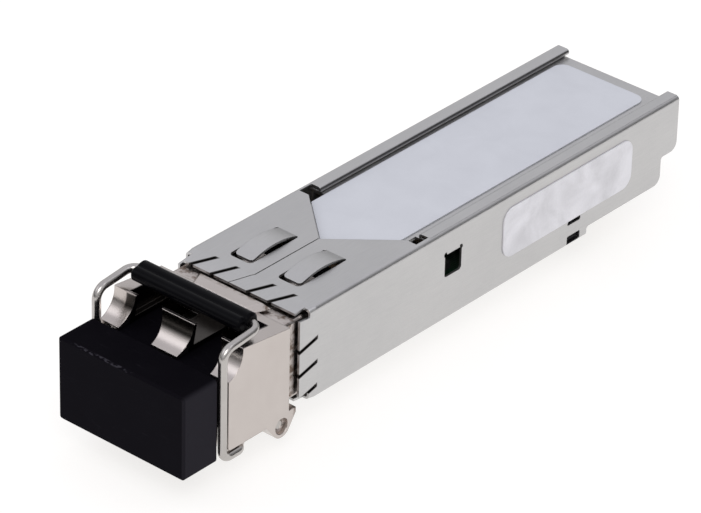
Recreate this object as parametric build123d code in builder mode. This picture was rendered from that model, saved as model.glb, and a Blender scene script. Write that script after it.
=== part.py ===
from build123d import *
from math import cos, radians, sin, tan
import os

# Pluggable optical transceiver with two fibre ports, a bail latch and a dust plug.
# Millimetres. x = 0 is the centre line, z = 0 the underside of the shell, y = 0 the mouth of
# the cage that the module slides into. The front faces -Y and the board's contacts +Y.

os.makedirs("parts", exist_ok=True)

# Shell, one folded sheet
shell_width = 13.4
shell_height = 8.5
shell_rear = 48.3
sheet = 0.22
bend_radius = 0.4
shell_gap = 0.03

# Grounding fingers at the mouth
mouth_y = 0.4
finger_length = 2.15
finger_drop = 0.2
finger_slot = 0.27
finger_slot_end = 0.19
finger_slot_sides = 7
finger_centre = 0.06
inner_finger_x = 1.95
outer_finger_x = 4.17
finger_slant = 29.5
side_finger_z = 1.16
side_finger_pitch = 2.22
side_finger_slant = 21.5
neck_gap = 0.2
corner_relief = 0.75
corner_relief_length = 1.45

# Seam and pointed rear edge of the two front flaps
seam_x = -0.09
seam_width = 0.09
seam_bend_y = 2.44
seam_kink = 1.3
seam_overrun = 0.3
flap_point_y = 9.95
flap_side_y = 14.6
relief_depth = 1.0
relief_length = 1.5
relief_overlap = 0.2

# Lanced spring tongues
tongue_x = 2.57
tongue_width = 1.9
tongue_slit = 0.22
tongue_front_y = 3.77
tongue_front_gap = 0.48
tongue_root_y = 9.08
tongue_rise = 0.44
tongue_dip = 0.02
tongue_crest = 0.5
tongue_corner = 0.35
tongue_front_corner = 0.45
tongue_root_corner = 0.2

# Hemmed rails beside the recess
rail_width = 1.45
rail_height = 0.58
hem_depth = 0.9

# Cut-outs of the shell's sides
window_y = 18.8
window_z = 5.2
window_size = 2.1
window_tab = 0.8
window_tab_drop = 0.45
window_corner = 0.25
window_notch = 0.24
slot_y = 34.55
slot_length = 1.7
upper_slot_z = 2.25
upper_slot_height = 0.36
lower_slot_z = 0.6
lower_slot_height = 0.8
slot_corner = 0.12
floor_end_y = 36.3
skirt_z = 0.9
skirt_end_y = 46.2
skirt_top_z = 3.4
skirt_corner = 0.8
skirt_inner_corner = 0.28

# Recessed cover and the two blank labels
cover_thickness = 0.28
cover_front_y = 9.2
cover_flange = 1.3
cover_bend = 0.35
cover_end_gap = 0.3
label_thickness = 0.1
top_label_front_gap = 0.25
top_label_left = -4.9
top_label_right = 4.35
top_label_end_gap = 1.5
top_label_corner = 1.0
side_label_y = 33.55
side_label_length = 16.9
side_label_z = 4.87
side_label_height = 4.65
side_label_corner = 1.2

# Cast nose
nose_overhang = 0.15
nose_front = -8.2
nose_rear = -1.16
nose_above_shell = 0.2
nose_rear_drop = 0.6
notch_z = 6.35
notch_y = -6.55
notch_radius = 2.3
block_drop = 0.53
block_overlap = 0.6
nose_edge = 0.3
ramp_height = 0.5
ramp_front = -2.2
ramp_front_half = 3.0
ramp_rear_half = 3.9
ramp_taper = 40
ramp_sink = 0.05

# Bail trough in the top of the nose
trough_front = -6.3
trough_rear = -2.17
trough_half = 5.4
trough_floor = 6.6

# Fibre ports
port_pitch = 6.25
port_size = 4.62
port_z = 3.8
port_back = 1.2
latch_slot_top = 2.75
latch_slot_foot = 3.65
latch_slot_overlap = 0.1

# Receptacles and optical cans
ferrule_radius = 0.625
barrel_radius = 1.45
barrel_front = -2.4
ferrule_lead = 0.25
ferrule_depth = 8.0
seat_gap = 0.03
flange_radius = 2.2
flange_thickness = 0.8
body_radius = 1.75
body_length = 2.6
can_radius = 2.35
can_header = 0.7
can_length = 3.0
can_lip = 0.25
lead_radius = 0.18
lead_circle = 0.9
lead_length = 0.7

# Saddle over the two bodies
clamp_side_gap = 0.33
clamp_length = 1.8
clamp_top_gap = 1.08
clamp_gap = 0.63

# Board
board_thickness = 1.0
board_z = 2.25
board_front_gap = 0.5
board_side_gap = 0.04
board_end = 45.1
board_corner = 0.4
board_bevel = 0.3
tongue_board_width = 9.2
tongue_board_start = 37.4
contact_count = 10
contact_pitch = 0.8
contact_width = 0.5
contact_length = 3.2
contact_thickness = 0.05
contact_end_gap = 0.6
flex_width = 3.4
flex_thickness = 0.14
flex_land = 1.6
flex_bend = 0.7
flex_rise = 0.7
frame_rail = 0.9
frame_front = 12.0
frame_rear = 36.0
frame_crossbar = 1.4
frame_ledge = 0.56
frame_ledge_height = 0.8
frame_ledge_end = 0.5

# Bail: wire and grip bar
wire_radius = 0.375
wire_sides = 16
bail_inset = 0.15
bail_pivot_y = -6.35
bail_pivot_z = -0.55
arm_y = -8.75
bail_top_z = 9.3
bar_y = -4.55
bar_z = 9.72
bail_bend = 0.85
bar_bend = 0.7
crank_x = 3.6
crank_length = 0.82
crank_bend = 0.42
crank_end_bevel = 0.15
bend_runs = 3
bar_half_length = 5.88
bar_rear_radius = 0.8
bar_front_radius = 0.62
bar_front_offset = 0.85
bar_front_rise = 0.1
bar_front_shorter = 0.12
bar_corner = 0.2
bar_bore_gap = 0.01
running_gap = 0.03

# Lugs under the nose
bail_lug_inner = 4.9
bail_lug_outer = 6.1
bail_lug_radius = 0.85
bail_lug_root = 0.4
pin_lug_inner = 5.15
pin_lug_radius = 1.03
pin_lug_front = 1.75
pin_lug_rear = 1.65
pin_lug_root = 0.45
pin_y = -2.0
pin_z = -0.62
pin_radius = 0.45
counterbore_radius = 0.72
counterbore_depth = 0.5
pin_reach = 0.2
pin_bevel = 0.1

# Locking lever
lever_half_width = 1.6
lever_thickness = 0.35
lever_arm_z = 0.42
lever_end_y = 6.4
eye_wall = 0.3
lever_slope = 1.6
lever_bend = 0.6
lever_foot_rear = 1.4
lever_foot_front = 0.2
lever_foot_drop = 0.4
lever_foot_bend = 0.5
boss_width = 2.6
boss_front = 3.3
boss_length = 2.5
boss_drop = 0.45
boss_flat = 0.7
boss_rear_z = -0.05
lever_front_z = -1.25
lever_front_y = -7.5
lever_front_half = 4.2
lever_front_depth = 1.3
lever_gap = 0.25
lever_rise = 0.9
lever_front_rise = 0.65
channel_front = 1.6
channel_step = 0.2

# Dust plug
plug_back = -9.2
plug_length = 3.95
plug_width = 13.4
plug_bottom = -0.55
plug_top = 7.1
plug_corner = 0.4
plug_bevel = 0.2
prong_size = 4.3
prong_length = 6.5
prong_bore = 0.9
prong_lead = 0.3
prong_web = 1.0

# Chips on the board: centre x, centre y, length of the side, height
driver_place = (3.1, 18.4)
amplifier_place = (-3.1, 18.0)
controller_place = (0.2, 25.4)
driver_size = 4.0
amplifier_size = 3.0
controller_size = 5.0
chip_height = 0.85
chip_chamfer = 0.12
capacitor_size = (1.0, 0.5, 0.5)
resistor_size = (0.6, 0.3, 0.28)
inductor_size = (2.0, 1.6, 1.2)
capacitor_row = (-4.6, 21.3)
capacitor_column = (-4.4, 24.0)
capacitor_pitch = 1.45
resistor_corner = (3.9, 23.2)
resistor_pitch = 0.9
inductor_row = (-3.2, 31.6)
inductor_pitch = 3.2

# Values that follow from the sizes above
half_width = shell_width / 2
inner_half = half_width - sheet
ceiling = shell_height - sheet
rail_inner = half_width - rail_width
recess_z = shell_height - rail_height
board_top = board_z + board_thickness
port_x = port_pitch / 2
port_top = port_z + port_size / 2
port_floor = port_z - port_size / 2
nose_width = shell_width + 2 * nose_overhang
nose_top = shell_height + nose_above_shell
nose_rear_top = nose_top - nose_rear_drop
bail_half_width = nose_width / 2 - bail_inset
flange_y = barrel_front + ferrule_depth
block_rear = flange_y + block_overlap
can_y = flange_y + flange_thickness + body_length
can_end = can_y + can_length
board_front = can_end + lead_length + board_front_gap
frame_half = inner_half - shell_gap
board_width = 2 * (frame_half - frame_ledge - board_side_gap)
neck_half = half_width - finger_drop - sheet - neck_gap
neck_low = finger_drop + sheet + neck_gap
neck_top = shell_height - finger_drop - sheet - neck_gap
rail_start = flap_side_y + relief_length


def across(y):
    """Plane across the module at y, seen from the front: sketch x is X, sketch y is Z."""
    return Plane(origin=(0, y, 0), x_dir=(1, 0, 0), z_dir=(0, -1, 0))


def side(x):
    """Plane along the module at x: sketch x is Y, sketch y is Z, and its normal is +X."""
    return Plane.YZ.offset(x)


def save(part, name):
    part.part.label = name
    export_step(part.part, f"parts/{name}.step")


def tube_section(inset, corner):
    """Rounded section of the shell, moved in by the inset on every side."""
    with Locations((0, shell_height / 2)):
        RectangleRounded(shell_width - 2 * inset, shell_height - 2 * inset, corner)


def box_between(low, high, mode=Mode.ADD):
    """Box from its lowest to its highest corner."""
    size = [b - a for a, b in zip(low, high)]
    with Locations(tuple((a + b) / 2 for a, b in zip(low, high))):
        Box(*size, mode=mode)


# Shell: tube with a tapered mouth
with BuildPart() as shell:
    for inset, mode in ((0, Mode.ADD), (sheet, Mode.SUBTRACT)):
        corner = bend_radius - inset
        with BuildSketch(across(finger_length)):
            tube_section(inset, corner)
        extrude(amount=finger_length - shell_rear, mode=mode)
        with BuildSketch(across(mouth_y)):
            tube_section(inset + finger_drop, corner)
        with BuildSketch(across(finger_length)):
            tube_section(inset, corner)
        loft(mode=mode)

    # Recess behind the pointed flaps, with the relief pockets where the rails begin
    relief_x = rail_inner + relief_depth
    with BuildSketch(Plane.XY.offset(ceiling - sheet)):
        with BuildLine():
            Polyline(
                (0, flap_point_y), (rail_inner, flap_side_y), (relief_x, flap_side_y),
                (relief_x, rail_start), (rail_inner, rail_start), (rail_inner, shell_rear + 1),
                (0, shell_rear + 1), (0, flap_point_y),
            )
        make_face()
        mirror(about=Plane.YZ)
    extrude(amount=3 * sheet, mode=Mode.SUBTRACT)

    # Rails: the edge of each side is rolled back under itself
    hem_radius = rail_height / 2
    hem_z = shell_height - hem_radius
    with BuildSketch(across(rail_start)):
        with Locations((rail_inner + hem_radius, hem_z)):
            Circle(hem_radius)
            Rectangle(hem_depth, rail_height, align=(Align.MIN, Align.CENTER))
            Circle(hem_radius - sheet, mode=Mode.SUBTRACT)
            Rectangle(
                hem_depth, rail_height - 2 * sheet, align=(Align.MIN, Align.CENTER), mode=Mode.SUBTRACT
            )
        mirror(about=Plane.YZ)
    rail_tops = extrude(amount=rail_start - shell_rear, mode=Mode.PRIVATE)
    with BuildSketch(Plane.XY.offset(ceiling - sheet)):
        for hand in (-1, 1):
            with Locations((hand * (rail_inner + hem_radius / 2), (rail_start + shell_rear) / 2)):
                Rectangle(hem_radius, shell_rear - rail_start + 2)
    extrude(amount=3 * sheet, mode=Mode.SUBTRACT)
    add(rail_tops)

    # Stepped rear end of the sides, and the open floor under the edge connector
    with BuildSketch(Plane.YZ):
        with BuildLine():
            skirt = FilletPolyline(
                (floor_end_y, -1), (floor_end_y, skirt_z), (skirt_end_y, skirt_z),
                (skirt_end_y, skirt_top_z), (shell_rear, skirt_top_z), (shell_rear, shell_height / 2 + 1),
                radius=[skirt_inner_corner, skirt_corner, skirt_inner_corner, skirt_corner],
            )
            Polyline(skirt @ 1, (shell_rear + 1, shell_height / 2 + 1), (shell_rear + 1, -1), skirt @ 0)
        make_face()
    extrude(amount=shell_width, both=True, mode=Mode.SUBTRACT)

    # Side windows with notched upper corners, and the two small slots
    window_top = window_z + window_size / 2
    with BuildSketch(Plane.YZ):
        with Locations((window_y, window_z)):
            RectangleRounded(window_size, window_size, window_corner)
        for hand in (-1, 1):
            with Locations((window_y + hand * (window_size - window_notch) / 2, window_top)):
                Circle(window_notch)
        with Locations((slot_y, upper_slot_z)):
            RectangleRounded(slot_length, upper_slot_height, slot_corner)
        with Locations((slot_y, lower_slot_z)):
            RectangleRounded(slot_length, lower_slot_height, slot_corner)
    extrude(amount=shell_width, both=True, mode=Mode.SUBTRACT)
    with BuildSketch(across(window_y)):
        with BuildLine():
            Polyline(
                (half_width, window_top + sheet), (half_width, window_top), (inner_half, window_top),
                (inner_half - window_tab, window_top - window_tab_drop),
                (inner_half - window_tab, window_top - window_tab_drop + sheet),
                (inner_half, window_top + sheet), (half_width, window_top + sheet),
            )
        make_face()
        mirror(about=Plane.YZ)
    extrude(amount=window_size / 2 - window_corner, both=True)

    # Finger slots in the top, the floor and the sides, each with a small bulb at its rear end
    slot_half = finger_length + 1
    floor_fingers = (-outer_finger_x, outer_finger_x)
    for z, places in ((0, floor_fingers), (shell_height, floor_fingers + (-inner_finger_x, inner_finger_x))):
        with BuildSketch(Plane.XY.offset(z)):
            for x in places:
                with Locations(Location((finger_centre + x, finger_length), -finger_slant)):
                    RegularPolygon(finger_slot_end, finger_slot_sides)
                    with Locations((0, -slot_half)):
                        Rectangle(finger_slot, 2 * slot_half)
        extrude(amount=finger_drop + 2 * sheet, both=True, mode=Mode.SUBTRACT)
    for x in (-half_width, half_width):
        with BuildSketch(side(x)):
            for step in range(3):
                z = side_finger_z + step * side_finger_pitch
                with Locations(Location((finger_length, z), side_finger_slant)):
                    RegularPolygon(finger_slot_end, finger_slot_sides)
                    with Locations((-slot_half, 0)):
                        Rectangle(2 * slot_half, finger_slot)
        extrude(amount=finger_drop + 2 * sheet, both=True, mode=Mode.SUBTRACT)
    for hand in (-1, 1):
        for z in (0, shell_height):
            with Locations((hand * half_width, 0, z)):
                Box(
                    2 * corner_relief, 2 * corner_relief_length, 2 * corner_relief, mode=Mode.SUBTRACT
                )

    # Seam between the flaps, kinked at the mouth
    with BuildSketch(Plane.XY.offset(shell_height)):
        with BuildLine():
            Polyline(
                (seam_x, flap_point_y + seam_overrun), (seam_x, seam_bend_y),
                (seam_x - seam_kink, -seam_overrun),
            )
            offset(amount=seam_width / 2)
        make_face()
    extrude(amount=finger_drop + 2 * sheet, both=True, mode=Mode.SUBTRACT)

    # Lanced tongues: a U-shaped slit, then an arched strip from its root
    tongue_length = tongue_root_y - tongue_front_y
    with BuildSketch(Plane.XY.offset(ceiling - sheet)):
        with Locations((tongue_x, tongue_root_y), (-tongue_x, tongue_root_y)):
            Rectangle(
                tongue_width + 2 * tongue_slit, tongue_length + tongue_front_gap,
                align=(Align.CENTER, Align.MAX),
            )
        fillet(vertices().group_by(Axis.Y)[0], tongue_front_corner)
        fillet(vertices().group_by(Axis.Y)[-1], tongue_root_corner)
    extrude(amount=3 * sheet, mode=Mode.SUBTRACT)
    for hand in (-1, 1):
        with BuildPart(mode=Mode.PRIVATE) as tongue:
            with BuildSketch(side(hand * tongue_x)):
                with BuildLine():
                    upper = ThreePointArc(
                        (tongue_root_y, shell_height),
                        (tongue_root_y - tongue_length * tongue_crest, shell_height + tongue_rise),
                        (tongue_front_y, shell_height - tongue_dip),
                    )
                    lower = ThreePointArc(
                        (tongue_root_y, ceiling),
                        (tongue_root_y - tongue_length * tongue_crest, ceiling + tongue_rise),
                        (tongue_front_y, ceiling - tongue_dip),
                    )
                    Line(upper @ 0, lower @ 0)
                    Line(upper @ 1, lower @ 1)
                make_face()
            extrude(amount=tongue_width / 2, both=True)
            fillet(tongue.edges().filter_by(Axis.Z).sort_by(Axis.Y)[:2], tongue_corner)
        add(tongue.part)

    # Opening in the floor for the locking lever
    box_between(
        (-lever_half_width - lever_gap, -1, -1),
        (lever_half_width + lever_gap, lever_end_y + lever_gap, 2 * sheet + finger_drop),
        mode=Mode.SUBTRACT,
    )

# Recessed cover under the label, folded down at both sides
with BuildPart() as inner_cover:
    cover_top = recess_z - shell_gap
    cover_half = inner_half - shell_gap
    with BuildSketch(across(cover_front_y)):
        with Locations((0, cover_top)):
            Rectangle(2 * cover_half, cover_flange, align=(Align.CENTER, Align.MAX))
        fillet(vertices().group_by(Axis.Y)[-1], cover_bend)
        with Locations((0, cover_top - cover_thickness)):
            Rectangle(
                2 * (cover_half - cover_thickness), cover_flange,
                align=(Align.CENTER, Align.MAX), mode=Mode.SUBTRACT,
            )
    extrude(amount=cover_front_y + cover_end_gap - shell_rear)
    for hand in (-1, 1):
        with BuildSketch(Plane.XY.offset(cover_top)):
            with Locations((hand * (rail_inner + cover_half) / 2, (flap_side_y + rail_start) / 2)):
                Rectangle(cover_half - rail_inner + 1, relief_length + 2 * relief_overlap)
        extrude(amount=-2 * cover_flange, mode=Mode.SUBTRACT)

# Top label, pointed like the flaps
with BuildPart() as top_label:
    point_slope = (flap_side_y - flap_point_y) / rail_inner
    label_front = flap_point_y + top_label_front_gap
    label_rear = shell_rear - top_label_end_gap
    with BuildSketch(Plane.XY.offset(cover_top)):
        with BuildLine():
            Polyline(
                (0, label_front), (top_label_right, label_front + top_label_right * point_slope),
                (top_label_right, label_rear), (top_label_left, label_rear),
                (top_label_left, label_front - top_label_left * point_slope), (0, label_front),
            )
        make_face()
        fillet(vertices().sort_by(Axis.Y)[-2:], top_label_corner)
    extrude(amount=label_thickness)

# Side label on the right
with BuildPart() as side_label:
    with BuildSketch(side(half_width)):
        with Locations((side_label_y, side_label_z)):
            RectangleRounded(side_label_length, side_label_height, side_label_corner)
    extrude(amount=label_thickness)

# Cast nose
with BuildPart() as nose_body:
    with BuildSketch(Plane.YZ):
        with BuildLine():
            Line((nose_front, 0), (nose_front, notch_z))
            RadiusArc((nose_front, notch_z), (notch_y, nose_top), -notch_radius)
            Polyline(
                (notch_y, nose_top), (trough_front, nose_top), (nose_rear, nose_rear_top),
                (nose_rear, 0), (nose_front, 0),
            )
        make_face()
        fillet(vertices().group_by(Axis.Y)[0].sort_by(Axis.X)[0], nose_edge)
    extrude(amount=nose_width / 2, both=True)

    # Neck under the fingers, and the block that carries the receptacles
    with BuildSketch(across(nose_rear - 1)):
        with Locations((0, neck_low)):
            Rectangle(2 * neck_half, neck_top - neck_low, align=(Align.CENTER, Align.MIN))
        fillet(vertices(), bend_radius)
    extrude(amount=nose_rear - 1 - finger_length)
    block_half = inner_half - shell_gap
    with BuildSketch(across(finger_length)):
        with Locations((0, sheet + shell_gap)):
            Rectangle(
                2 * block_half, ceiling - block_drop - sheet - shell_gap, align=(Align.CENTER, Align.MIN)
            )
        fillet(vertices(), bend_radius - sheet)
    extrude(amount=finger_length - block_rear)

    # Raised ramp in the middle of the top
    ramp_base = nose_rear_top - ramp_sink
    with BuildSketch(Plane.XY.offset(ramp_base)):
        Polygon(
            (-ramp_front_half, ramp_front), (ramp_front_half, ramp_front),
            (ramp_rear_half, -shell_gap), (-ramp_rear_half, -shell_gap), align=None,
        )
    extrude(amount=ramp_height, taper=ramp_taper)

    # Lugs for the bail and for the lever's pin
    for hand in (-1, 1):
        with BuildSketch(side(hand * (bail_lug_inner + bail_lug_outer) / 2)):
            with BuildLine():
                CenterArc((bail_pivot_y, bail_pivot_z), bail_lug_radius, 0, 360)
                Line(
                    (bail_pivot_y - bail_lug_radius, bail_lug_root),
                    (bail_pivot_y + bail_lug_radius, bail_lug_root),
                )
            make_hull()
        extrude(amount=(bail_lug_outer - bail_lug_inner) / 2, both=True)
        with BuildSketch(side(hand * (pin_lug_inner + nose_width / 2) / 2)):
            with BuildLine():
                CenterArc((pin_y, pin_z), pin_lug_radius, 0, 360)
                Line((pin_y - pin_lug_front, 0), (pin_y + pin_lug_rear, 0))
                Line((pin_y - pin_lug_front, pin_lug_root), (pin_y + pin_lug_rear, pin_lug_root))
            make_hull()
        extrude(amount=(nose_width / 2 - pin_lug_inner) / 2, both=True)

    # Ports with their latch slots, open at the top
    for hand in (-1, 1):
        x = hand * port_x
        box_between(
            (x - port_size / 2, nose_front - 1, port_floor),
            (x + port_size / 2, port_back, port_top), mode=Mode.SUBTRACT,
        )
        with BuildSketch(across(trough_rear)):
            with Locations((x, 0)):
                Polygon(
                    (-latch_slot_foot / 2, port_top - latch_slot_overlap),
                    (latch_slot_foot / 2, port_top - latch_slot_overlap),
                    (latch_slot_top / 2, nose_top), (latch_slot_top / 2, nose_top + 1),
                    (-latch_slot_top / 2, nose_top + 1), (-latch_slot_top / 2, nose_top), align=None,
                )
        extrude(amount=trough_rear - nose_front + 1, mode=Mode.SUBTRACT)
    box_between(
        (-trough_half, trough_front, trough_floor), (trough_half, trough_rear, nose_top + 1),
        mode=Mode.SUBTRACT,
    )

    # Seats of the two receptacles
    for start, radius in ((port_back, barrel_radius), (flange_y - seat_gap, flange_radius)):
        with BuildSketch(across(start)):
            with Locations((-port_x, port_z), (port_x, port_z)):
                Circle(radius + seat_gap)
        extrude(amount=start - block_rear, mode=Mode.SUBTRACT)

    # Channel for the lever, deeper where the boss rises
    channel_half = lever_half_width + lever_gap
    box_between(
        (-channel_half, pin_y - channel_front, -1),
        (channel_half, port_back + channel_step, lever_arm_z + lever_front_rise),
        mode=Mode.SUBTRACT,
    )
    box_between(
        (-channel_half, port_back, -1),
        (channel_half, block_rear + 1, lever_arm_z + lever_thickness + lever_rise),
        mode=Mode.SUBTRACT,
    )

    # Holes for the wire, and for the pin with its counterbores
    with BuildSketch(Plane.YZ):
        with Locations((bail_pivot_y, bail_pivot_z)):
            Circle(wire_radius + running_gap)
        with Locations((pin_y, pin_z)):
            Circle(pin_radius)
    extrude(amount=nose_width, both=True, mode=Mode.SUBTRACT)
    for hand in (-1, 1):
        with BuildSketch(side(hand * nose_width / 2)):
            with Locations((pin_y, pin_z)):
                Circle(counterbore_radius)
        extrude(amount=counterbore_depth, both=True, mode=Mode.SUBTRACT)

# Pin of the locking lever
with BuildPart() as latch_pin:
    pin_half = nose_width / 2 - counterbore_depth + pin_reach
    with BuildSketch(Plane.YZ):
        with Locations((pin_y, pin_z)):
            Circle(pin_radius)
    extrude(amount=pin_half, both=True)
    chamfer(latch_pin.faces().filter_by(Axis.X).edges(), pin_bevel)

# Locking lever: rolled eye, arm, boss behind and a wide foot in front
with BuildPart() as latch_lever:
    eye_radius = pin_radius + running_gap + eye_wall
    with BuildSketch(Plane.YZ):
        with Locations((pin_y, pin_z)):
            Circle(eye_radius)
        with BuildLine():
            arm = FilletPolyline(
                (pin_y, pin_z + eye_radius - lever_thickness / 2), (pin_y + lever_slope, lever_arm_z),
                (lever_end_y, lever_arm_z), radius=lever_bend,
            )
            offset(amount=lever_thickness / 2)
        make_face()
        with BuildLine():
            FilletPolyline(
                (pin_y, pin_z - eye_radius + lever_thickness / 2),
                (bail_pivot_y + lever_foot_rear, pin_z - lever_foot_drop),
                (bail_pivot_y + lever_foot_front, lever_front_z), (lever_front_y, lever_front_z),
                radius=lever_foot_bend,
            )
            offset(amount=lever_thickness / 2)
        make_face()
        with Locations((pin_y, pin_z)):
            Circle(pin_radius + running_gap, mode=Mode.SUBTRACT)
    extrude(amount=lever_half_width, both=True)
    box_between(
        (-lever_front_half, lever_front_y, lever_front_z - lever_thickness / 2),
        (lever_front_half, lever_front_y + lever_front_depth, lever_front_z + lever_thickness / 2),
    )
    with BuildSketch(Plane.YZ):
        with BuildLine():
            Polyline(
                (boss_front, lever_arm_z), (boss_front, -boss_drop), (boss_front + boss_flat, -boss_drop),
                (boss_front + boss_length, boss_rear_z), (boss_front + boss_length, lever_arm_z),
                (boss_front, lever_arm_z),
            )
        make_face()
    extrude(amount=boss_width / 2, both=True)

def short_runs(corners, radii):
    """Points of a path whose bends are a few short straight runs that touch the bend's arc."""
    points = [Vector(corners[0])]
    for before, corner, after, radius in zip(corners, corners[1:], corners[2:], radii):
        middle = Vector(corner)
        back = (Vector(before) - middle).normalized()
        ahead = (Vector(after) - middle).normalized()
        turn = radians(180 - back.get_angle(ahead))
        centre = middle + (back + ahead).normalized() * (radius / cos(turn / 2))
        start = middle + back * (radius * tan(turn / 2)) - centre
        for step in range(bend_runs):
            angle = turn * (step + 0.5) / bend_runs
            reach = radius / cos(turn / 2 / bend_runs)
            points.append(centre + start.normalized() * (reach * cos(angle)) - back * (reach * sin(angle)))
    points.append(Vector(corners[-1]))
    return points


# Bail wire: one bent wire with a short crank at each end
with BuildPart() as bail_wire:
    wire_points = short_runs(
        [
            (0, bar_y, bar_z), (bail_half_width, bar_y, bar_z), (bail_half_width, arm_y, bail_top_z),
            (bail_half_width, arm_y, bail_pivot_z), (bail_half_width, bail_pivot_y, bail_pivot_z),
            (crank_x, bail_pivot_y, bail_pivot_z), (crank_x, bail_pivot_y - crank_length, bail_pivot_z),
        ],
        [bar_bend, bail_bend, bail_bend, bar_bend, crank_bend],
    )
    with BuildLine() as half_path:
        Polyline(*wire_points)
    with BuildSketch(Plane(origin=(0, bar_y, bar_z), z_dir=(1, 0, 0))):
        RegularPolygon(wire_radius, wire_sides)
    sweep(path=half_path.wire(), transition=Transition.RIGHT)
    crank_end = bail_wire.faces().filter_by(Axis.Y).sort_by(Axis.Z)[0]
    chamfer(crank_end.edges(), crank_end_bevel)
    mirror(about=Plane.YZ)

# Grip bar moulded over the wire
with BuildPart() as bail_cover:
    for y, z, radius, half_length in (
        (bar_y, bar_z, bar_rear_radius, bar_half_length),
        (
            bar_y - bar_front_offset, bar_z + bar_front_rise, bar_front_radius,
            bar_half_length - bar_front_shorter,
        ),
    ):
        with BuildPart(mode=Mode.PRIVATE) as bead:
            with BuildSketch(Plane.YZ):
                with Locations((y, z)):
                    Circle(radius)
            extrude(amount=half_length, both=True)
            chamfer(bead.faces().filter_by(Axis.X).edges(), bar_corner)
        add(bead.part)
    with BuildSketch(Plane.YZ):
        with Locations((bar_y, bar_z)):
            Circle(wire_radius + bar_bore_gap)
    extrude(amount=bar_half_length + 1, both=True, mode=Mode.SUBTRACT)

# Rubber dust plug
with BuildPart() as dust_plug:
    with BuildSketch(across(plug_back - plug_length)):
        with Locations((0, (plug_bottom + plug_top) / 2)):
            RectangleRounded(plug_width, plug_top - plug_bottom, plug_corner)
    extrude(amount=-plug_length)
    chamfer(dust_plug.faces().filter_by(Axis.Y).edges(), plug_bevel)
    with BuildSketch(across(plug_back)):
        with Locations((-port_x, port_z), (port_x, port_z)):
            Rectangle(prong_size, prong_size)
    extrude(amount=-prong_length)
    chamfer(dust_plug.faces().sort_by(Axis.Y)[-2:].edges(), prong_lead)
    with BuildSketch(across(plug_back + prong_length)):
        with Locations((-port_x, port_z), (port_x, port_z)):
            Circle(prong_bore)
    extrude(amount=prong_length - prong_web, mode=Mode.SUBTRACT)


def receptacle(x):
    """Turned barrel with its ferrule bore and its seat flange."""
    with BuildPart() as barrel:
        with BuildSketch(Plane.XY):
            with BuildLine():
                Polyline(
                    (ferrule_radius, ferrule_lead), (ferrule_radius + ferrule_lead, 0), (barrel_radius, 0),
                    (barrel_radius, ferrule_depth), (flange_radius, ferrule_depth),
                    (flange_radius, ferrule_depth + flange_thickness),
                    (body_radius, ferrule_depth + flange_thickness),
                    (body_radius, ferrule_depth + flange_thickness + body_length),
                    (0, ferrule_depth + flange_thickness + body_length), (0, ferrule_depth),
                    (ferrule_radius, ferrule_depth), (ferrule_radius, ferrule_lead),
                )
            make_face()
        revolve(axis=Axis.Y)
    return Location((x, barrel_front, port_z)) * barrel.part


def can(x):
    """Sealed can with its header, its lens cap and the leads behind."""
    with BuildPart() as sealed:
        with BuildSketch(across(can_y)):
            with Locations((x, port_z)):
                Circle(can_radius - can_lip)
        extrude(amount=can_header - can_length)
        with BuildSketch(across(can_end - can_header)):
            with Locations((x, port_z)):
                Circle(can_radius)
        extrude(amount=-can_header)
        with BuildSketch(across(can_end)):
            with Locations((x, port_z)):
                with PolarLocations(lead_circle, 4):
                    RegularPolygon(lead_radius, 6)
        extrude(amount=-lead_length)
    return sealed


for hand, name in ((1, "tx"), (-1, "rx")):
    barrel = receptacle(hand * port_x)
    barrel.label = f"{name}_receptacle"
    export_step(barrel, f"parts/{name}_receptacle.step")
    save(can(hand * port_x), f"{name}_can")

# Flexible leads, bent from the cans down to the board
flex_y = can_end + lead_length / 2
flex_top = port_z + lead_circle + flex_rise
flex_z = board_top + shell_gap + flex_thickness / 2
for hand, name in ((1, "tx"), (-1, "rx")):
    with BuildPart() as flex:
        with BuildSketch(side(hand * port_x)):
            with BuildLine():
                FilletPolyline(
                    (flex_y, flex_top), (flex_y, flex_z), (board_front + flex_land, flex_z),
                    radius=flex_bend,
                )
                offset(amount=flex_thickness / 2)
            make_face()
        extrude(amount=flex_width / 2, both=True)
        with BuildSketch(across(can_end)):
            with Locations((hand * port_x, port_z)):
                with PolarLocations(lead_circle, 4):
                    RegularPolygon(lead_radius + shell_gap, 6)
        extrude(amount=-lead_length - flex_thickness, mode=Mode.SUBTRACT)
    save(flex, f"{name}_flex")

# Saddle that holds both receptacles
with BuildPart() as optics_clamp:
    clamp_half_width = inner_half - clamp_side_gap
    clamp_front = flange_y + flange_thickness + clamp_gap
    box_between(
        (-clamp_half_width, clamp_front, sheet + shell_gap),
        (clamp_half_width, clamp_front + clamp_length, ceiling - clamp_top_gap),
    )
    with BuildSketch(across(clamp_front)):
        with Locations((-port_x, port_z), (port_x, port_z)):
            Circle(body_radius + seat_gap)
    extrude(amount=-clamp_length, mode=Mode.SUBTRACT)
    box_between(
        (-channel_half, clamp_front, -1),
        (channel_half, clamp_front + clamp_length, lever_arm_z + lever_rise),
        mode=Mode.SUBTRACT,
    )

# Board with its narrower edge connector
with BuildPart() as circuit_board:
    with BuildSketch(Plane.XY.offset(board_z)):
        with BuildLine():
            Polyline(
                (0, board_front), (board_width / 2, board_front), (board_width / 2, tongue_board_start),
                (tongue_board_width / 2, tongue_board_start), (tongue_board_width / 2, board_end),
                (0, board_end),
            )
            mirror(about=Plane.YZ)
        make_face()
        fillet(vertices().sort_by(Axis.Y)[-2:], board_corner)
    extrude(amount=board_thickness)
    chamfer(circuit_board.faces().sort_by(Axis.Y)[-1].edges().filter_by(Axis.X), board_bevel)

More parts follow.
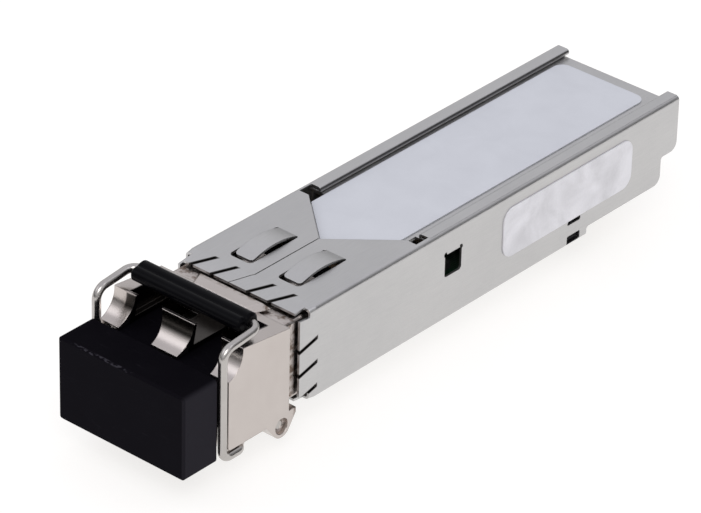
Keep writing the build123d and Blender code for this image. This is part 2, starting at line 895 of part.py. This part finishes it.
# Gold contacts on both faces of the edge
with BuildPart() as edge_contacts:
    contact_y = board_end - contact_end_gap - contact_length / 2
    for z in (board_z - contact_thickness, board_top):
        with BuildSketch(Plane.XY.offset(z)):
            with GridLocations(contact_pitch, 1, contact_count, 1):
                with Locations((0, contact_y)):
                    Rectangle(contact_width, contact_length)
        extrude(amount=contact_thickness)


def chip(place, size):
    """Square package with a small chamfer around its top, on the board."""
    with BuildPart() as package:
        with BuildSketch(Plane.XY.offset(board_top)):
            with Locations(place):
                Rectangle(size, size)
        extrude(amount=chip_height)
        chamfer(package.faces().sort_by(Axis.Z)[-1].edges(), chip_chamfer)
    return package


save(chip(driver_place, driver_size), "laser_driver")
save(chip(amplifier_place, amplifier_size), "receiver_amplifier")
save(chip(controller_place, controller_size), "controller_chip")


def small_parts(size, places):
    """Group of small packages, each a plain block on the board."""
    with BuildPart() as group:
        with BuildSketch(Plane.XY.offset(board_top)):
            with Locations(places):
                Rectangle(size[0], size[1])
        extrude(amount=size[2])
    return group


def grid(first, pitch, columns, rows):
    """Places in rows and columns from the first one on."""
    return [(first[0] + i * pitch, first[1] + j * pitch) for i in range(columns) for j in range(rows)]


capacitor_places = grid(capacitor_row, capacitor_pitch, 5, 1) + grid(capacitor_column, capacitor_pitch, 1, 4)
save(small_parts(capacitor_size, capacitor_places), "capacitors")
save(small_parts(resistor_size, grid(resistor_corner, resistor_pitch, 2, 4)), "resistors")
save(small_parts(inductor_size, grid(inductor_row, inductor_pitch, 3, 1)), "inductors")

# Moulded frame that carries the board on the shell's floor
with BuildPart() as board_frame:
    frame_low = sheet + shell_gap
    with BuildSketch(across(frame_front)):
        with Locations((0, frame_low)):
            Rectangle(2 * frame_half, board_z - frame_low, align=(Align.CENTER, Align.MIN))
        fillet(vertices().group_by(Axis.Y)[0], bend_radius - sheet)
    extrude(amount=frame_front - frame_rear)
    box_between(
        (-frame_half + frame_rail, frame_front + frame_crossbar, -1),
        (frame_half - frame_rail, frame_rear - frame_crossbar, board_z + 1), mode=Mode.SUBTRACT,
    )
    for hand in (-1, 1):
        with Locations((hand * (frame_half - frame_ledge / 2), (frame_front + frame_rear) / 2, board_z)):
            Box(frame_ledge, frame_rear - frame_front - 2 * frame_ledge_end, 2 * frame_ledge_height)

save(shell, "shell")
save(inner_cover, "inner_cover")
save(top_label, "top_label")
save(side_label, "side_label")
save(nose_body, "nose_body")
save(latch_pin, "latch_pin")
save(latch_lever, "latch_lever")
save(bail_wire, "bail_wire")
save(bail_cover, "bail_cover")
save(dust_plug, "dust_plug")
save(optics_clamp, "optics_clamp")
save(circuit_board, "circuit_board")
save(edge_contacts, "edge_contacts")
save(board_frame, "board_frame")
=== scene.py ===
# %% [markdown]
# # A pluggable optical transceiver
# The metal work, board and latch come from the solid model. This file gives every one of them a
# finish, swaps in a rounder bail wire than a light solid can hold, and lights the whole.

# %% Load the frame
import math
import bmesh
import bpy
from mathutils import Matrix, Vector


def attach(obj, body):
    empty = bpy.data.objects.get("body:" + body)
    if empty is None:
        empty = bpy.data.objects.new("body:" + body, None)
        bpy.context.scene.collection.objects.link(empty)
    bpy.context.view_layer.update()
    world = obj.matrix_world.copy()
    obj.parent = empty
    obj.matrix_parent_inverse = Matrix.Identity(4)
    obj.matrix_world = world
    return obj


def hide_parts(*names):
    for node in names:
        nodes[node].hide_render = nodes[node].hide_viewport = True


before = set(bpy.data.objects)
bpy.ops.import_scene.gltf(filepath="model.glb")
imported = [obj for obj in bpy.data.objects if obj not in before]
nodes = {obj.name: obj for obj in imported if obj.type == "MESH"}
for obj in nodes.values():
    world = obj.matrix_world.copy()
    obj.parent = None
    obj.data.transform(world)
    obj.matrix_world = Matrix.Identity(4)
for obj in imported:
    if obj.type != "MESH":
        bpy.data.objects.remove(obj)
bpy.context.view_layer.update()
MM = 0.001

# %% [markdown]
# ## Camera
# The photograph was taken from the front right and above, with a long lens. The camera was fitted
# to points and lines picked in the photograph, with the shell's standard width and height as given.

# %% Camera
eye = Vector((213.0133, -235.9454, 203.6424)) * MM
view_right = Vector((0.75266267, 0.65808656, 0.02051773))
view_up = Vector((-0.35388164, 0.3780675, 0.85547224))
view_back = Vector((0.5552177, -0.65114287, 0.51744205))
camera_data = bpy.data.cameras.new("camera")
camera_data.sensor_width = 36
camera_data.lens = 243.761
camera_data.clip_start = 0.01
camera_data.clip_end = 20
camera = bpy.data.objects.new("camera", camera_data)
turn = Matrix((view_right, view_up, view_back)).transposed().to_4x4()
camera.matrix_world = Matrix.Translation(eye) @ turn
bpy.context.scene.collection.objects.link(camera)
bpy.context.scene.camera = camera
print("camera lens", camera_data.lens, "mm")

# %% [markdown]
# ## Shader maths as Python
# A finish is easier to read as a formula. This class holds one output socket, and adds Math nodes
# when it is added, multiplied or subtracted. Its node method makes every other kind of node. The
# helpers after it are the few patterns that several finishes share.


# %% Socket maths
class Signal:
    """One output socket. Sums and products of it add their own Math nodes."""

    def __init__(self, tree, socket):
        self.tree = tree
        self.socket = socket

    def node(self, kind, settings=None, inputs=None, output=0):
        made = self.tree.nodes.new(kind)
        for name, value in (settings or {}).items():
            if name == "stops":
                elements = made.color_ramp.elements
                for stop, _ in value[2:]:
                    elements.new(stop)
                for element, (stop, level) in zip(elements, sorted(value)):
                    element.position = stop
                    element.color = (level, level, level, 1)
            else:
                setattr(made, name, value)
        for key, value in (inputs or {}).items():
            if isinstance(value, Signal):
                self.tree.links.new(value.socket, made.inputs[key])
            else:
                made.inputs[key].default_value = value
        return Signal(self.tree, made.outputs[output])

    def maths(self, operation, first, second):
        return self.node("ShaderNodeMath", {"operation": operation}, {0: first, 1: second})

    def __add__(self, other):
        return self.maths("ADD", self, other)

    def __radd__(self, other):
        return self.maths("ADD", other, self)

    def __sub__(self, other):
        return self.maths("SUBTRACT", self, other)

    def __rsub__(self, other):
        return self.maths("SUBTRACT", other, self)

    def __mul__(self, other):
        return self.maths("MULTIPLY", self, other)

    def __rmul__(self, other):
        return self.maths("MULTIPLY", other, self)


# %% Patterns that several finishes share
finger_length = 2.15


def colour_mix(factor, first, second):
    """Mixes two colours by a Signal."""
    return factor.node(
        "ShaderNodeMix", {"data_type": "RGBA"}, {0: factor, 6: first, 7: second}, output=2
    )


def stretched(place, scale):
    """Object coordinates with a different scale on each axis."""
    return place.node(
        "ShaderNodeVectorMath", {"operation": "MULTIPLY"}, {0: place, 1: scale}
    )


def noise(place, scale, detail=3.0, roughness=0.55, distortion=0.0):
    """Soft noise between 0 and 1, with scale in patches per millimetre."""
    return place.node(
        "ShaderNodeTexNoise", {},
        {"Vector": place, "Scale": scale, "Detail": detail, "Roughness": roughness,
         "Distortion": distortion},
    )


def part_of(vector, axis):
    """One of the three parts of a vector."""
    return vector.node("ShaderNodeSeparateXYZ", {}, {0: vector}, output=axis)


def between(value, low, high, soft):
    """1 between low and high, fading out over a soft margin inside both."""
    smooth = {"interpolation_type": "SMOOTHSTEP"}
    rise = value.node("ShaderNodeMapRange", smooth, {0: value, 1: low, 2: low + soft})
    fall = value.node("ShaderNodeMapRange", smooth, {0: value, 1: high, 2: high - soft})
    return rise * fall


def size_of(value):
    """The value without its sign."""
    return value.maths("ABSOLUTE", value, 0.0)


def beside_slots(cross, along, centres, slant, reach):
    """1 beside slanted slots that run from the shell's front edge to the fingers' roots."""
    lean = math.radians(slant)
    before_all = -1.0
    marks = None
    for centre in centres:
        past_root = (along - finger_length) * math.sin(lean)
        apart = size_of((cross - centre) * math.cos(lean) - past_root)
        mark = between(apart, before_all, reach, 0.07)
        mark = mark * between(along, before_all, finger_length + reach, 0.1)
        marks = mark if marks is None else marks + mark
    return marks


def ramp(signal, *stops):
    """Levels between stops of (place, level)."""
    return signal.node("ShaderNodeValToRGB", {"stops": list(stops)}, {0: signal})


print("signals ready")


# %% [markdown]
# ## One way to start a finish
# Each finish begins with a Principled shader, Object coordinates in millimetres, and an edge that
# a Bevel node rounds while rendering, because real sheet and castings have no knife edges.

# %% Start of a finish
def start_finish(name, colour, metallic, roughness, **fixed):
    """Material with constants on the shader's own sockets. Returns it, the shader and the place."""
    material = bpy.data.materials.new(name)
    material.use_nodes = True
    tree = material.node_tree
    shader = tree.nodes["Principled BSDF"]
    shader.inputs["Base Color"].default_value = (*colour, 1)
    shader.inputs["Metallic"].default_value = metallic
    shader.inputs["Roughness"].default_value = roughness
    for socket, value in fixed.items():
        shader.inputs[socket.replace("_", " ")].default_value = value
    coordinates = tree.nodes.new("ShaderNodeTexCoord")
    place = Signal(tree, coordinates.outputs["Object"])
    place = place.node("ShaderNodeVectorMath", {"operation": "SCALE"}, {0: place, "Scale": 1 / MM})
    return material, shader, place


def connect(shader, socket, signal):
    signal.tree.links.new(signal.socket, shader.inputs[socket])


def relief(shader, height, depth_mm, edge_mm):
    """Bump of a height signal, over edges that are rounded while rendering."""
    edge = height.node("ShaderNodeBevel", {"samples": 6}, {"Radius": edge_mm * MM})
    bump = {"Height": height, "Distance": depth_mm * MM, "Strength": 1.0, "Normal": edge}
    connect(shader, "Normal", height.node("ShaderNodeBump", {}, bump))


print("finish helpers ready")

# %% [markdown]
# ## Satin sheet steel
# The shell is thin tinned steel. It reflects softly, with faint rolling lines along the module and
# slightly cloudier patches. The photograph shows each slanted slot wider and darker than the solid
# has it, and a dark line along the rolled rails. Narrow bands of painted shade, set out from the
# slots' own lines, make up for both. They darken the steel beside each slot and along the rails'
# inner edges, where shade falls into the gaps. They are paint and not shape, so they show only on
# the outside.

# %% Sheet steel
shell_steel, shader, place = start_finish("shell_steel", (0.50, 0.50, 0.50), 1.0, 0.34)
clouds = noise(place, 0.22, detail=4)
rolling = noise(stretched(place, (14, 0.5, 14)), 1.0, detail=2)
grain = noise(place, 22, detail=2)
across, along, up = (part_of(place, axis) for axis in "XYZ")
off_centre = size_of(across)
top_slots, top_slant = (-4.11, -1.89, 2.01, 4.23), 29.5
side_slots, side_slant = (1.16, 3.38, 5.60), 21.5
on_top = between(up, 7.7, 9.5, 0.1)
on_sides = between(off_centre, 6.2, 7.5, 0.1)
# Painted shade: dark bands beside the slanted slots and along the rails' inner edges.
top_slot_shade = beside_slots(across, along, top_slots, top_slant, reach=0.24) * on_top
side_slot_shade = beside_slots(up, along, side_slots, side_slant, reach=0.22) * on_sides
on_rails = between(along, 15.9, 48.4, 0.2) * between(up, 8.2, 8.6, 0.05)
rail_edge_shade = between(off_centre, 5.18, 5.36, 0.05) * on_rails
painted_shade_lines = top_slot_shade * 0.92 + side_slot_shade * 0.92 + rail_edge_shade * 0.75
tint = clouds * 0.5 + rolling * 0.5 + grain * 0.7 - 0.25
sheet = colour_mix(tint, (0.42, 0.42, 0.425, 1), (0.60, 0.595, 0.59, 1))
# The painted shade bands mix the sheet towards near black.
connect(shader, "Base Color", colour_mix(painted_shade_lines, sheet, (0.03, 0.027, 0.025, 1)))
connect(shader, "Roughness", 0.27 + clouds * 0.10 + rolling * 0.06)
relief(shader, rolling * 0.6 + grain * 0.4, 0.0018, edge_mm=0.06)
print("made", shell_steel.name)

# %% [markdown]
# ## Nickel-plated casting
# The nose is cast, then plated. Plating is warmer than steel, and the cast skin shows through it
# as fine pits, which a small-scale bump gives. Brown blotches on the neck at the fingers' tips are
# painted shade and reflection of the gaps between the fingers.
# The trough behind the ports is nearly black in the photograph, darker than the lamps alone make
# it, so a soft box in Object coordinates darkens the metal there as painted shade.

# %% Nickel
nickel, shader, place = start_finish("nickel", (0.54, 0.50, 0.47), 1.0, 0.27)
clouds = noise(place, 0.35, detail=4)
pits = noise(place, 9, detail=5, roughness=0.7)
fingertip_noise = noise(place, 1.6, detail=3)
across, along, up = (part_of(place, axis) for axis in "XYZ")
# Painted shade and reflection: brown blotches on the neck under the fingers' tips.
spots = ramp(fingertip_noise, (0.0, 0.1), (0.46, 0.15), (0.60, 1.0), (1.0, 1.0))
fingertip_shade = between(along, -0.9, 1.9, 0.6) * spots
trough_shade = between(across, -5.6, 5.6, 0.15) * between(along, -7.0, -2.1, 0.25)
trough_shade = trough_shade * between(up, 6.0, 8.64, 0.10)
plating = colour_mix(clouds, (0.50, 0.455, 0.43, 1), (0.59, 0.545, 0.52, 1))
plating = colour_mix(fingertip_shade, plating, (0.17, 0.125, 0.10, 1))
# Painted shade: the trough behind the ports is mixed towards near black.
plating = colour_mix(trough_shade * 0.94, plating, (0.030, 0.027, 0.024, 1))
connect(shader, "Base Color", plating)
connect(shader, "Roughness", 0.16 + clouds * 0.06 + pits * 0.08)
relief(shader, pits, 0.006, edge_mm=0.10)
print("made", nickel.name)

# %% [markdown]
# ## Wire, lever and turned steel
# Drawn wire is the shiniest steel here. The stamped lever and the turned receptacles are duller,
# with fine lines along the strip or round the barrel. One function makes all three, because only
# colour, roughness and the stretch of the lines differ.

# %% Other steels
def plain_steel(name, dark, light, roughness, line_scale):
    material, shader, place = start_finish(name, dark, 1.0, roughness)
    lines = noise(stretched(place, line_scale), 1.0, detail=3)
    clouds = noise(place, 0.5, detail=3)
    connect(shader, "Base Color", colour_mix(clouds, (*dark, 1), (*light, 1)))
    connect(shader, "Roughness", roughness - 0.04 + lines * 0.08)
    relief(shader, lines, 0.002, edge_mm=0.04)
    print("made", name)
    return material


wire_steel = plain_steel("wire_steel", (0.42, 0.40, 0.385), (0.54, 0.52, 0.50), 0.24, (3, 3, 3))
spring_steel = plain_steel(
    "spring_steel", (0.50, 0.50, 0.50), (0.60, 0.60, 0.59), 0.3, line_scale=(12, 0.6, 12)
)
barrel_steel = plain_steel(
    "barrel_steel", (0.52, 0.52, 0.50), (0.62, 0.62, 0.60), 0.28, line_scale=(0.4, 18, 0.4)
)

# %% [markdown]
# ## Black rubber and black plastic
# The dust plug is a near-black rubber with a fine matt grain, faint dust and a few light
# scratches, and its front edge is scuffed. The photograph shows its right side a shade lighter than
# its top. Whether skin or light does that can't be told. The colour is made lighter where the
# surface faces sideways, which is painted light. The grip bar is a harder plastic with a tighter
# highlight.

# %% Rubber
black_rubber, shader, place = start_finish(
    "black_rubber", (0.006, 0.0055, 0.008), 0.0, 0.6, Specular_IOR_Level=0.01
)
grain = noise(place, 14, detail=3)
clouds = noise(place, 0.4, detail=4)
scratch = noise(stretched(place, (0.5, 9, 12)), 1.0, detail=2)
scratch_mask = ramp(scratch, (0.0, 0.0), (0.70, 0.0), (0.73, 1.0), (0.76, 0.0), (1.0, 0.0))
facing = place.node("ShaderNodeTexCoord", output="Normal")
sideways, forwards = part_of(facing, "X"), part_of(facing, "Y")
across, along, up = (part_of(place, axis) for axis in "XYZ")
front_edge = between(along, -13.3, -12.94, 0.06) * between(up, 6.88, 7.2, 0.06)
front_edge = front_edge * between(across, -5.5, 1.5, 1.5)
chips = noise(stretched(place, (2.2, 5, 5)), 1.0)
wear = front_edge * ramp(chips, (0.0, 0.0), (0.50, 0.0), (0.58, 1.0))
# Painted light: surfaces that face sideways are made lighter.
painted_side_light = sideways * sideways * 0.6 + forwards * forwards * 0.09
paler = clouds * 0.08 + wear * 1.2 + scratch_mask * 0.3 + painted_side_light
skin = colour_mix(paler, (0.0022, 0.0018, 0.0032, 1), (0.034, 0.032, 0.040, 1))
connect(shader, "Base Color", skin)
connect(shader, "Roughness", 0.54 + clouds * 0.12 - scratch_mask * 0.1)
relief(shader, grain * 0.7 + scratch_mask * 0.3, 0.003, edge_mm=0.12)
print("made", black_rubber.name)

# %% Plastic
black_plastic, shader, place = start_finish(
    "black_plastic", (0.0015, 0.0015, 0.0022), 0.0, 0.25, Specular_IOR_Level=0.05
)
grain = noise(place, 10, detail=3)
clouds = noise(place, 0.6, detail=3)
skin = colour_mix(clouds, (0.0010, 0.0010, 0.0016, 1), (0.0030, 0.0030, 0.0042, 1))
connect(shader, "Base Color", skin)
connect(shader, "Roughness", 0.20 + clouds * 0.1)
relief(shader, grain, 0.003, edge_mm=0.18)
print("made", black_plastic.name)

# %% [markdown]
# ## Blank labels
# Both labels are blank film, one bluish and one nearly white. Adhesive beneath shows through as
# soft clouding, and the film's fibres vary the gloss. A little colour noise does both more cheaply
# than light scattered inside the film, which is far too thin for that to show.

# %% Labels
def label_finish(name, low, high):
    material, shader, place = start_finish(name, high, 0.0, 0.42, Specular_IOR_Level=0.4)
    clouds = noise(place, 0.30, detail=3, distortion=0.4)
    fibres = noise(place, 5, detail=4)
    tint = ramp(clouds * 0.85 + fibres * 0.15, (0.0, 0.0), (0.34, 0.0), (0.62, 1.0), (1.0, 1.0))
    connect(shader, "Base Color", colour_mix(tint, (*low, 1), (*high, 1)))
    connect(shader, "Roughness", 0.36 + fibres * 0.14)
    relief(shader, fibres, 0.002, edge_mm=0.05)
    print("made", name)
    return material


top_film = label_finish("top_film", (0.590, 0.605, 0.650), (0.620, 0.636, 0.682))
side_film = label_finish("side_film", (0.66, 0.655, 0.685), (0.84, 0.835, 0.875))

# %% [markdown]
# ## Board, packages and gold
# These sit inside, seen from behind and through the slots. Solder mask is glossy green with the
# tracks just visible under it, and a brick pattern's joints stand for those tracks. Gold plating is
# smooth, and the packages are dull moulded epoxy. They share one speckled finish.

# %% Board
board_green, shader, place = start_finish(
    "board_green", (0.006, 0.035, 0.015), 0.0, 0.3, Coat_Weight=0.3
)
tracks = place.node(
    "ShaderNodeTexBrick", {"offset": 0.5},
    {"Vector": place, "Scale": 1.1, "Mortar Size": 0.06, "Mortar Smooth": 0.3,
     "Color1": (0, 0, 0, 1), "Color2": (0, 0, 0, 1), "Mortar": (1, 1, 1, 1)},
)
mottle = noise(place, 0.8)
pattern = tracks * 0.7 + mottle * 0.3
mask_colour = colour_mix(pattern, (0.0015, 0.010, 0.004, 1), (0.006, 0.036, 0.015, 1))
connect(shader, "Base Color", mask_colour)
relief(shader, tracks, 0.01, edge_mm=0.05)
print("made", board_green.name)


# %% Small parts
def speckled(name, low, high, metallic, roughness, scale, depth):
    material, shader, place = start_finish(name, high, metallic, roughness)
    specks = noise(place, scale, detail=4)
    connect(shader, "Base Color", colour_mix(specks, (*low, 1), (*high, 1)))
    connect(shader, "Roughness", roughness - 0.06 + specks * 0.12)
    relief(shader, specks, depth, edge_mm=0.04)
    print("made", name)
    return material


gold = speckled("gold", (0.72, 0.50, 0.18), (0.86, 0.64, 0.28), 1.0, 0.26, 4, 0.002)
gold_can = speckled("gold_can", (0.66, 0.50, 0.24), (0.80, 0.62, 0.32), 1.0, 0.3, 3, 0.003)
chip_black = speckled(
    "chip_black", (0.014, 0.014, 0.015), (0.035, 0.035, 0.036), 0.0, 0.55, 12, 0.004
)
ceramic = speckled("ceramic", (0.32, 0.24, 0.16), (0.46, 0.36, 0.25), 0.0, 0.5, 8, 0.004)
flex_film = speckled("flex_film", (0.42, 0.20, 0.03), (0.60, 0.31, 0.06), 0.0, 0.3, 2, 0.003)

# %% [markdown]
# ## Finishes onto the solids
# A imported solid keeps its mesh. Only what fills its material slots changes.

# %% Assign the finishes
finishes = {
    "shell": shell_steel, "inner_cover": shell_steel, "nose_body": nickel, "latch_pin": wire_steel,
    "latch_lever": spring_steel, "bail_wire": wire_steel, "bail_cover": black_plastic,
    "dust_plug": black_rubber, "top_label": top_film, "side_label": side_film,
    "circuit_board": board_green, "edge_contacts": gold, "laser_driver": chip_black,
    "receiver_amplifier": chip_black, "controller_chip": chip_black, "capacitors": ceramic,
    "resistors": chip_black, "inductors": ceramic, "board_frame": black_plastic,
    "tx_receptacle": barrel_steel, "rx_receptacle": barrel_steel, "tx_can": gold_can,
    "rx_can": gold_can, "tx_flex": flex_film, "rx_flex": flex_film, "optics_clamp": black_plastic,
}
for name, material in finishes.items():
    for slot in nodes[name].material_slots:
        slot.material = material
print("finished", len(finishes), "of", len(nodes))

# %% [markdown]
# ## Bail wire
# The bail is a drawn wire bent on a former, round in section and round in every bend. The solid
# has mitred corners to stay light. A curve object with a bevel would be quicker, but here a ring is
# pushed along the straight runs and spun round each bend's centre, which keeps the section true
# through the bends and lets the cut ends be rounded over.

# %% Bail wire
wire_radius = 0.375
arm_x, crank_x = 6.7, 3.6
bar_y, front_y, pivot_y, crank_end_y = -4.55, -8.75, -6.35, -7.17
bar_z, shoulder_z, pivot_z = 9.72, 9.3, -0.55
wire_corners = [
    (0, bar_y, bar_z), (arm_x, bar_y, bar_z), (arm_x, front_y, shoulder_z),
    (arm_x, front_y, pivot_z), (arm_x, pivot_y, pivot_z), (crank_x, pivot_y, pivot_z),
    (crank_x, crank_end_y, pivot_z),
]
wire_bends = [0.95, 1.05, 0.85, 0.7, 0.42]
wire_sides = 32
bend_steps = 12
same_point = 0.002


def push(bm, ring, offset):
    """Moves a ring of edges on by an offset, leaving a wall behind."""
    made = bmesh.ops.extrude_edge_only(bm, edges=ring)["geom"]
    corners = [v for v in made if isinstance(v, bmesh.types.BMVert)]
    bmesh.ops.translate(bm, verts=corners, vec=offset)
    edges = [e for e in made if isinstance(e, bmesh.types.BMEdge)]
    return [e for e in edges if all(v in corners for v in e.verts)]


def swing(bm, ring, centre, axis, angle, steps):
    """Spins a ring of edges about an axis, leaving a bend behind."""
    corners = list({v for e in ring for v in e.verts})
    made = bmesh.ops.spin(
        bm, geom=corners + ring, cent=centre, axis=axis, angle=angle, steps=steps,
        use_duplicate=False,
    )["geom_last"]
    return [e for e in made if isinstance(e, bmesh.types.BMEdge)]


def bent_wire(bm, corners, bends, radius):
    """Half of the wire, from its middle to the end of its crank."""
    points = [Vector(c) * MM for c in corners]
    heading = (points[1] - points[0]).normalized()
    disc = heading.to_track_quat("Z", "Y").to_matrix().to_4x4()
    start = Matrix.Translation(points[0]) @ disc
    bmesh.ops.create_circle(bm, segments=wire_sides, radius=radius * MM, matrix=start)
    ring = list(bm.edges)
    at = points[0]
    for corner, after, bend in zip(points[1:], points[2:], bends):
        inward = (corner - at).normalized()
        outward = (after - corner).normalized()
        angle = inward.angle(outward)
        axis = inward.cross(outward).normalized()
        reach = bend * MM * math.tan(angle / 2)
        ring = push(bm, ring, corner - inward * reach - at)
        centre = corner - inward * reach + axis.cross(inward) * bend * MM
        ring = swing(bm, ring, centre, axis, angle, bend_steps)
        at = corner + outward * reach
    return push(bm, ring, points[-1] - at)


wire_mesh = bmesh.new()
last_ring = bent_wire(wire_mesh, wire_corners, wire_bends, wire_radius)
bmesh.ops.contextual_create(wire_mesh, geom=last_ring)
bmesh.ops.bevel(
    wire_mesh, geom=last_ring, offset=0.12 * MM, segments=4, profile=0.5, affect="EDGES",
    material=-1,
)
half = wire_mesh.verts[:] + wire_mesh.edges[:] + wire_mesh.faces[:]
bmesh.ops.mirror(wire_mesh, geom=half, axis="X", merge_dist=same_point * MM)
bmesh.ops.remove_doubles(wire_mesh, verts=wire_mesh.verts, dist=same_point * MM)
bmesh.ops.recalc_face_normals(wire_mesh, faces=wire_mesh.faces)


# %% Wire as an object
def as_object(bm, name, material):
    """Turns a bmesh into a smooth object at the origin."""
    for face in bm.faces:
        face.smooth = True
    mesh = bpy.data.meshes.new(name)
    bm.to_mesh(mesh)
    bm.free()
    mesh.materials.append(material)
    piece = bpy.data.objects.new(name, mesh)
    bpy.context.scene.collection.objects.link(piece)
    print("made", name, "faces", len(mesh.polygons))
    return piece


round_wire = as_object(wire_mesh, "round_wire", wire_steel)
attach(round_wire, "bail")
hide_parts("bail_wire")

# %% [markdown]
# ## Floor and light
# A plain pale floor takes a faint shadow and is as white as the photograph's background to the
# eye. The even light of a product photograph comes from a big tent, so here the world is a soft
# gradient from a dim horizon to a bright top, with a few brighter and darker panels that the metal
# reflects. One large soft lamp at the front right gives the light its direction.

# %% Floor
floor_height = -3.4
floor_half_width = 1.5
floor_mesh = bmesh.new()
bmesh.ops.create_grid(floor_mesh, x_segments=1, y_segments=1, size=floor_half_width)
bmesh.ops.translate(floor_mesh, verts=floor_mesh.verts, vec=(0, 0, floor_height * MM))
floor_paper, shader, place = start_finish(
    "floor_paper", (0.30, 0.30, 0.30), 0.0, 0.9, Specular_IOR_Level=0.0, Emission_Strength=1.0
)
shown = (
    place.node("ShaderNodeLightPath", output="Is Camera Ray")
    + place.node("ShaderNodeLightPath", output="Is Glossy Ray")
    + place.node("ShaderNodeLightPath", output="Is Transmission Ray")
)
connect(shader, "Emission Color", colour_mix(shown, (0.66, 0.65, 0.64, 1), (0.78, 0.768, 0.755, 1)))
floor = as_object(floor_mesh, "floor", floor_paper)

# %% World
world = bpy.data.worlds.new("studio")
bpy.context.scene.world = world
world.use_nodes = True
sky_tree = world.node_tree
sky = sky_tree.nodes["Background"]
rays = Signal(sky_tree, sky_tree.nodes.new("ShaderNodeLightPath").outputs["Is Camera Ray"])
direction = rays.node("ShaderNodeTexCoord", {}, {}, output="Generated")


def glow(towards, inner, outer):
    """1 around a direction, fading out between two cosines of the angle to it."""
    along = direction.node(
        "ShaderNodeVectorMath", {"operation": "DOT_PRODUCT"},
        {0: direction, 1: Vector(towards).normalized()}, output="Value",
    )
    return ramp(along, (0.0, 0.0), (outer, 0.0), (inner, 1.0), (1.0, 1.0))


height = part_of(direction, "Z")
sky_level = ramp(
    height, (0.0, 0.10), (0.07, 0.22), (0.22, 0.62), (0.38, 0.76), (0.6, 0.82), (1.0, 0.76)
)
dark_panels = (((0.60, 0.65, 0.42), 0.97, 0.84, 0.5), ((-0.55, -0.75, 0.05), 0.90, 0.60, 0.2))
bright_panels = (((0.52, 0.30, 0.80), 0.99, 0.975, 0.8), ((-0.555, -0.517, 0.651), 0.99, 0.95, 0.9))
for towards, inner, outer, depth in dark_panels:
    sky_level = sky_level - glow(towards, inner, outer) * depth
for towards, inner, outer, strength in bright_panels:
    sky_level = sky_level + glow(towards, inner, outer) * strength
sky_level = sky_level.node("ShaderNodeClamp", {}, {0: sky_level, "Max": 3.0})
cool = sky_level * (1.0 + height * 0.07)
graded = rays.node("ShaderNodeCombineColor", {}, {0: sky_level, 1: sky_level, 2: cool})
seen = colour_mix(rays, graded, (1, 1, 1, 1))
sky_tree.links.new(seen.socket, sky.inputs["Color"])
sky.inputs["Strength"].default_value = 1.0
print("world", world.name)


# %% Lamps
def soft_lamp(name, place, size, power, colour):
    """Square area lamp, placed in metres and aimed at the middle of the module."""
    data = bpy.data.lights.new(name, "AREA")
    data.shape = "SQUARE"
    data.size = size
    data.energy = power
    data.color = colour
    lamp = bpy.data.objects.new(name, data)
    lamp.location = place
    aim = Vector((0, 0.018, 0.004)) - Vector(place)
    lamp.rotation_euler = aim.to_track_quat("-Z", "Y").to_euler()
    bpy.context.scene.collection.objects.link(lamp)
    print("lamp", name, "power", power)


soft_lamp("key", (0.36, -0.40, 0.55), 0.35, 1.6, (1.0, 0.985, 0.96))

# %% [markdown]
# ## Render settings
# The plain Standard view keeps colours as written.

# %% Finish
bpy.context.scene.view_settings.view_transform = "Standard"
